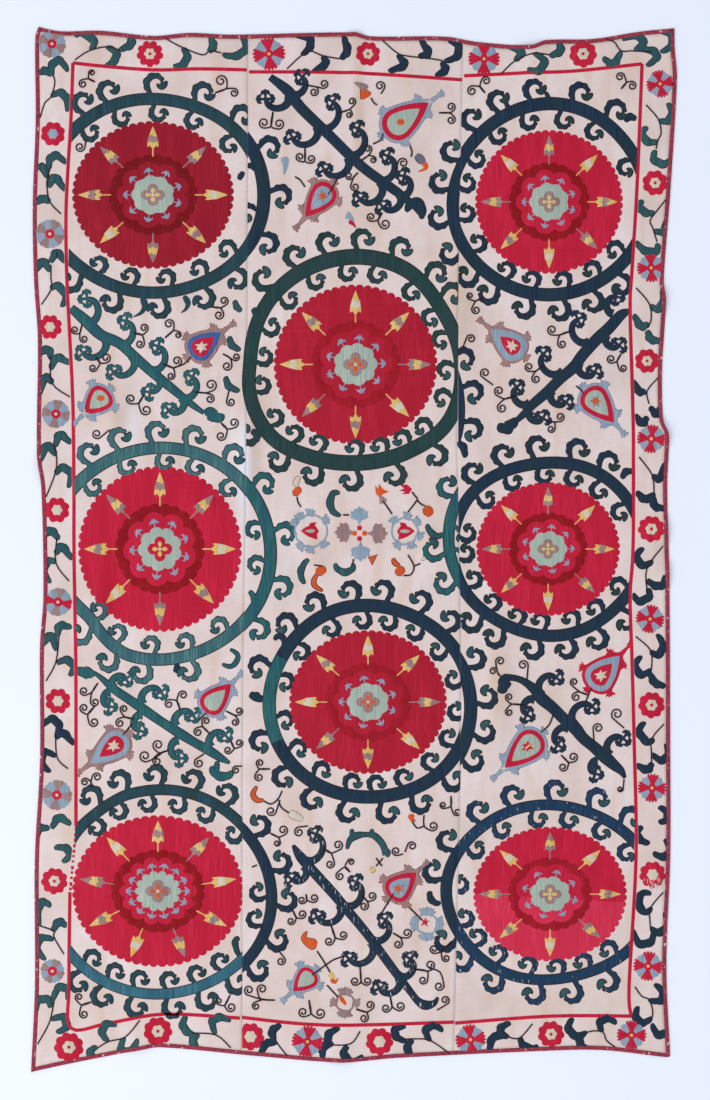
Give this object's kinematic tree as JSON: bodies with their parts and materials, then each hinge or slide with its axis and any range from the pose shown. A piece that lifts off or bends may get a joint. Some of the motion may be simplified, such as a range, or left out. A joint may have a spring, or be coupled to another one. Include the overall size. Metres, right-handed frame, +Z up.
{
  "type": "suzani embroidered textile",
  "caption": "Hand-embroidered suzani cloth of cotton lengths sewn edge to edge, with silk floral medallions and a narrow red edge braid, lying face up in soft folds.",
  "frame": {"origin": "on the surface the cloth lies on, under the middle of its box", "axes": "+X across the cloth to its right as seen face on, +Y along it to its top edge, +Z up out of its face"},
  "size_m": [1.5175, 2.456, 0.0158],
  "materials": {
    "cotton": "undyed hand-woven cotton, matt",
    "braid": "narrow red silk braid",
    "red_silk": "couched silk thread, soft sheen",
    "dark_red_silk": "couched silk thread, soft sheen",
    "green_silk": "couched silk thread, soft sheen",
    "navy_silk": "couched silk thread, soft sheen",
    "blue_silk": "couched silk thread, soft sheen",
    "mint_silk": "couched silk thread, soft sheen",
    "brown_silk": "couched silk thread, soft sheen",
    "yellow_silk": "couched silk thread, soft sheen",
    "orange_silk": "couched silk thread, soft sheen",
    "dark_thread": "dark chain stitch"
  },
  "bodies": {
    "root": {"panel_left": "cotton", "panel_centre": "cotton", "panel_right": "cotton", "braid_left": "braid", "braid_right": "braid", "braid_top": "braid", "braid_bottom": "braid"}
  },
  "joints": []
}
